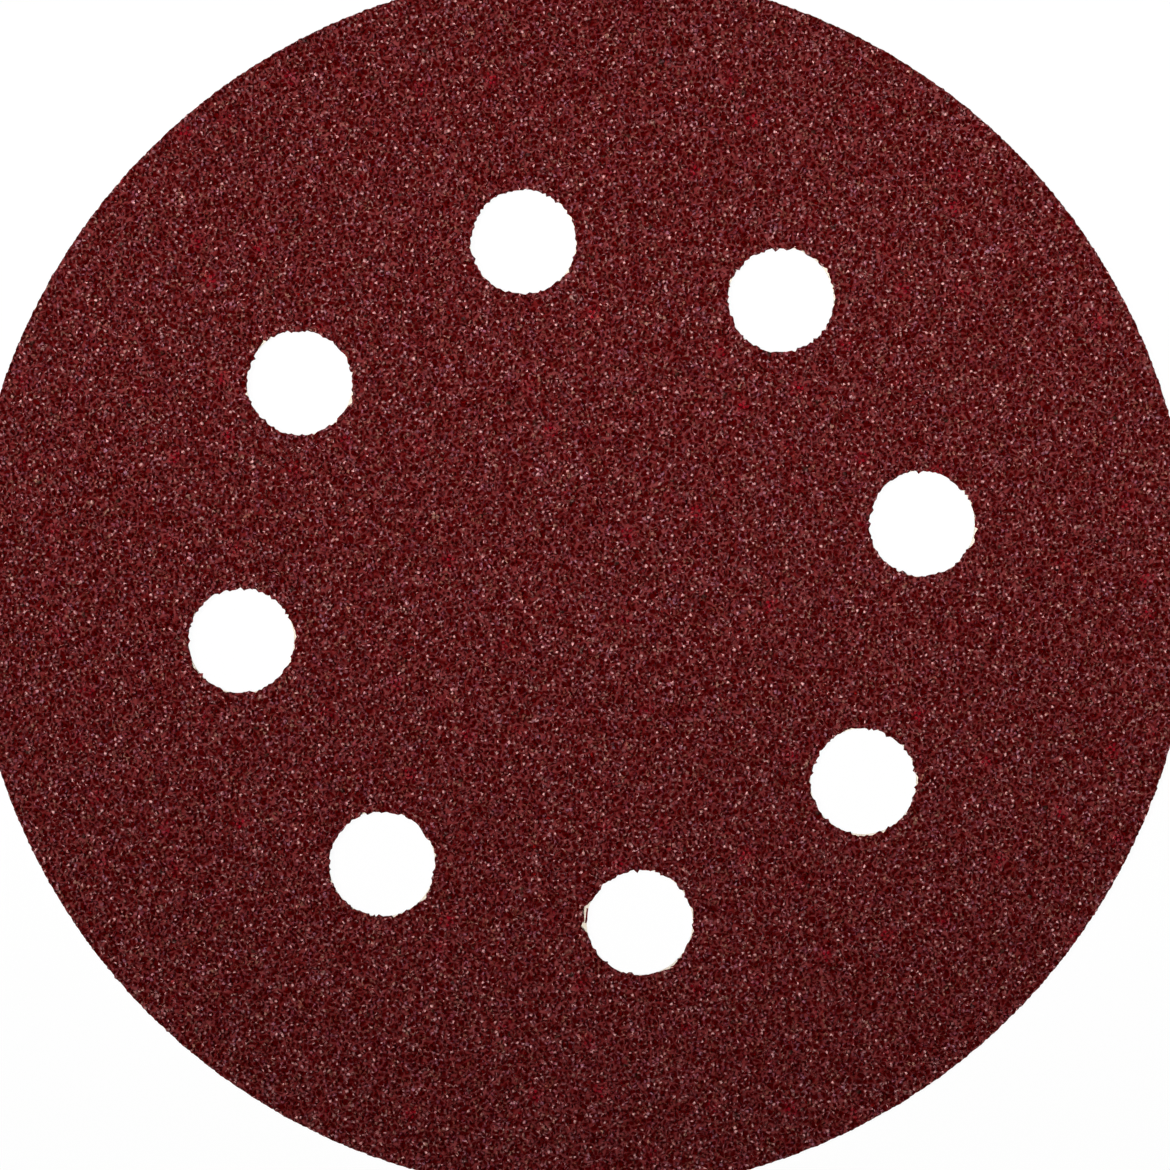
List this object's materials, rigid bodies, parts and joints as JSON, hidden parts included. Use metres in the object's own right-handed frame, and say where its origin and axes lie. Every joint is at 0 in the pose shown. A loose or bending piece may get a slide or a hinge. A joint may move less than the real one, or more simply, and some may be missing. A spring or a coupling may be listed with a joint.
{
  "type": "hook and loop sanding disc",
  "caption": "Flat round sanding sheet with a ring of dust holes, red abrasive grain on one face and a loop fabric on the other that grips the hooks of a sander's pad.",
  "frame": {"origin": "centre of the disc on its loop face, which lies on the bench", "axes": "+Z out of the grain face, along the disc's axis; +X through the centre of the first dust hole"},
  "size_m": [0.115, 0.115, 0.0014],
  "materials": {
    "grain": "coarse red abrasive grain bonded in resin, satin with small glints",
    "paper": "stiff fibrous paper, matte, cut edge",
    "loops": "brushed knit with a short pile of loops, matte"
  },
  "bodies": {
    "root": {"loop_fabric": "loops", "paper_backing": "paper", "abrasive_coat": "grain"}
  },
  "joints": []
}
